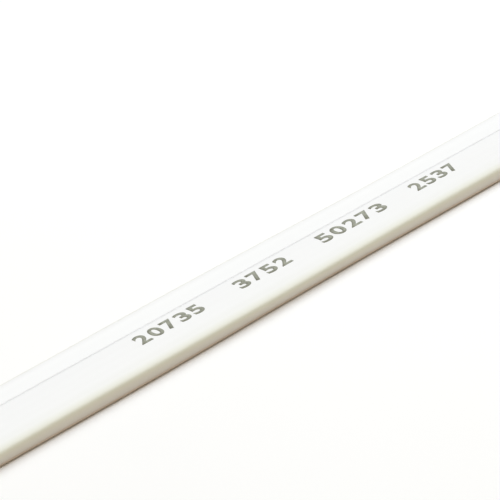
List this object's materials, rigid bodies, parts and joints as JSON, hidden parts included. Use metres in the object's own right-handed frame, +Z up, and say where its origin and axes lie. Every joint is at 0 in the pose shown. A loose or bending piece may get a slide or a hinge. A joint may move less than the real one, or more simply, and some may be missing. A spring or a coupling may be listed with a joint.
{
  "type": "ethernet patch cable",
  "caption": "Flat white network patch cable with a clear modular plug, a soft boot and a sprung latch at each end, its spare length wound in a strapped hank.",
  "frame": {"origin": "the table surface under the middle of plug A with its boot", "axes": "+X along the cable, from plug A's nose to its boot and on to the hank; +Y across the cable; +Z up from the table"},
  "size_m": [0.2946, 0.0488, 0.0134],
  "materials": {
    "jacket": "smooth satin extruded PVC",
    "boot_rubber": "fine matte moulded PVC",
    "clear_plastic": "clear moulded polycarbonate",
    "gold_contact": "gold-plated, polished",
    "copper": "drawn copper",
    "tie_fabric": "woven hook-and-loop strap",
    "wire_white_orange": "satin insulation",
    "wire_orange": "satin insulation",
    "wire_white_green": "satin insulation",
    "wire_blue": "satin insulation",
    "wire_white_blue": "satin insulation",
    "wire_green": "satin insulation",
    "wire_white_brown": "satin insulation",
    "wire_brown": "satin insulation"
  },
  "bodies": {
    "root": {"plug_a_housing": "clear_plastic", "plug_a_load_bar": "clear_plastic", "plug_a_boot": "boot_rubber", "plug_a_cable_end": "jacket", "plug_a_conductor_cores": "copper", "plug_a_contact_1": "gold_contact", "plug_a_contact_2": "gold_contact", "plug_a_contact_3": "gold_contact", "plug_a_contact_4": "gold_contact", "plug_a_contact_5": "gold_contact", "plug_a_contact_6": "gold_contact", "plug_a_contact_7": "gold_contact", "plug_a_contact_8": "gold_contact", "plug_a_conductor_1": "wire_white_orange", "plug_a_conductor_2": "wire_orange", "plug_a_conductor_3": "wire_white_green", "plug_a_conductor_4": "wire_blue", "plug_a_conductor_5": "wire_white_blue", "plug_a_conductor_6": "wire_green", "plug_a_conductor_7": "wire_white_brown", "plug_a_conductor_8": "wire_brown", "plug_b_housing": "clear_plastic", "plug_b_load_bar": "clear_plastic", "plug_b_boot": "boot_rubber", "plug_b_cable_end": "jacket", "plug_b_conductor_cores": "copper", "plug_b_contact_1": "gold_contact", "plug_b_contact_2": "gold_contact", "plug_b_contact_3": "gold_contact", "plug_b_contact_4": "gold_contact", "plug_b_contact_5": "gold_contact", "plug_b_contact_6": "gold_contact", "plug_b_contact_7": "gold_contact", "plug_b_contact_8": "gold_contact", "plug_b_conductor_1": "wire_white_orange", "plug_b_conductor_2": "wire_orange", "plug_b_conductor_3": "wire_white_green", "plug_b_conductor_4": "wire_blue", "plug_b_conductor_5": "wire_white_blue", "plug_b_conductor_6": "wire_green", "plug_b_conductor_7": "wire_white_brown", "plug_b_conductor_8": "wire_brown", "cable_stretch": "jacket", "cable_twist": "jacket", "cable_hank": "jacket", "cable_lead": "jacket", "hank_tie": "tie_fabric"},
    "latch_a": {"plug_a_latch": "clear_plastic"},
    "latch_b": {"plug_b_latch": "clear_plastic"}
  },
  "joints": [
    {"name": "latch_a_press", "type": "hinge", "parent": "root", "child": "latch_a", "pos_m": [-0.02005, 0, 0.0072], "axis": [0, 1, 0], "range_deg": [0, 8], "stiffness_Nm_per_rad": 0.05},
    {"name": "latch_b_press", "type": "hinge", "parent": "root", "child": "latch_b", "pos_m": [0.2558, -0.0152, 0.00669], "axis": [0, 0, -1], "range_deg": [0, 8], "stiffness_Nm_per_rad": 0.05}
  ]
}
